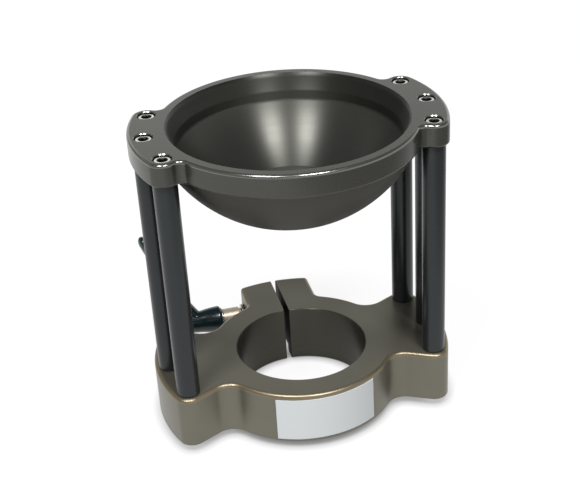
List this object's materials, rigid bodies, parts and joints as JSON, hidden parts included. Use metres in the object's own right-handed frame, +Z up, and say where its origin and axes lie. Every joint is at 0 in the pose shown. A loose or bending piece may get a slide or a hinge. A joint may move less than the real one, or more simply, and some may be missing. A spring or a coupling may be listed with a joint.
{
  "type": "half ball adapter",
  "caption": "Half ball adapter with a wide bowl seat on slim columns over a split clamp base with a side clamping lever.",
  "frame": {"origin": "on the axis of the clamp bore, in the plane of the collar's underside, which the adapter stands on", "axes": "+Z up along the bore to the bowl, +Y to the clamp slit and its lugs, +X and -X to the ears, the lever on the -X side; the picture looks from -Y and a little from -X, from above"},
  "size_m": [0.191, 0.1872, 0.198],
  "materials": {
    "plate_anodised": "dark bronze-grey anodised, satin",
    "base_anodised": "dark bronze-grey anodised, satin",
    "column_anodised": "dark grey anodised, fine satin",
    "screw_steel": "stainless, bright",
    "plated_steel": "plated, bright",
    "sleeve_metal": "turned, warm tint",
    "lever_black": "black, smooth gloss",
    "label_film": "blank pale film"
  },
  "bodies": {
    "adapter": {"bowl_plate": "plate_anodised", "base_clamp": "base_anodised", "column_left_front": "column_anodised", "column_left_middle": "column_anodised", "column_left_rear": "column_anodised", "column_right_front": "column_anodised", "column_right_middle": "column_anodised", "column_right_rear": "column_anodised", "top_screw_left_front": "screw_steel", "top_screw_left_middle": "screw_steel", "top_screw_left_rear": "screw_steel", "top_screw_right_front": "screw_steel", "top_screw_right_middle": "screw_steel", "top_screw_right_rear": "screw_steel", "base_screw_left_front": "screw_steel", "base_screw_left_middle": "screw_steel", "base_screw_left_rear": "screw_steel", "base_screw_right_front": "screw_steel", "base_screw_right_middle": "screw_steel", "base_screw_right_rear": "screw_steel", "clamp_washer": "plated_steel", "spacer_sleeve": "sleeve_metal", "label": "label_film"},
    "clamp_screw": {"clamp_stud": "plated_steel", "lever_insert": "plated_steel", "lever_screw": "plated_steel", "lever_spring": "plated_steel"},
    "lever": {"lever_handle": "lever_black"}
  },
  "joints": [
    {"name": "clamp_turn", "type": "hinge", "parent": "adapter", "child": "clamp_screw", "pos_m": [-0.0406, 0.0735, 0.0221], "axis": [1, 0, 0], "range_deg": [-67, 48]},
    {"name": "lever_lift", "type": "slide", "parent": "clamp_screw", "child": "lever", "axis": [-1, 0, 0], "range_m": [0, 0.005], "stiffness_N_per_m": 700, "springref_m": -0.003, "deforming": ["lever_spring"]}
  ]
}
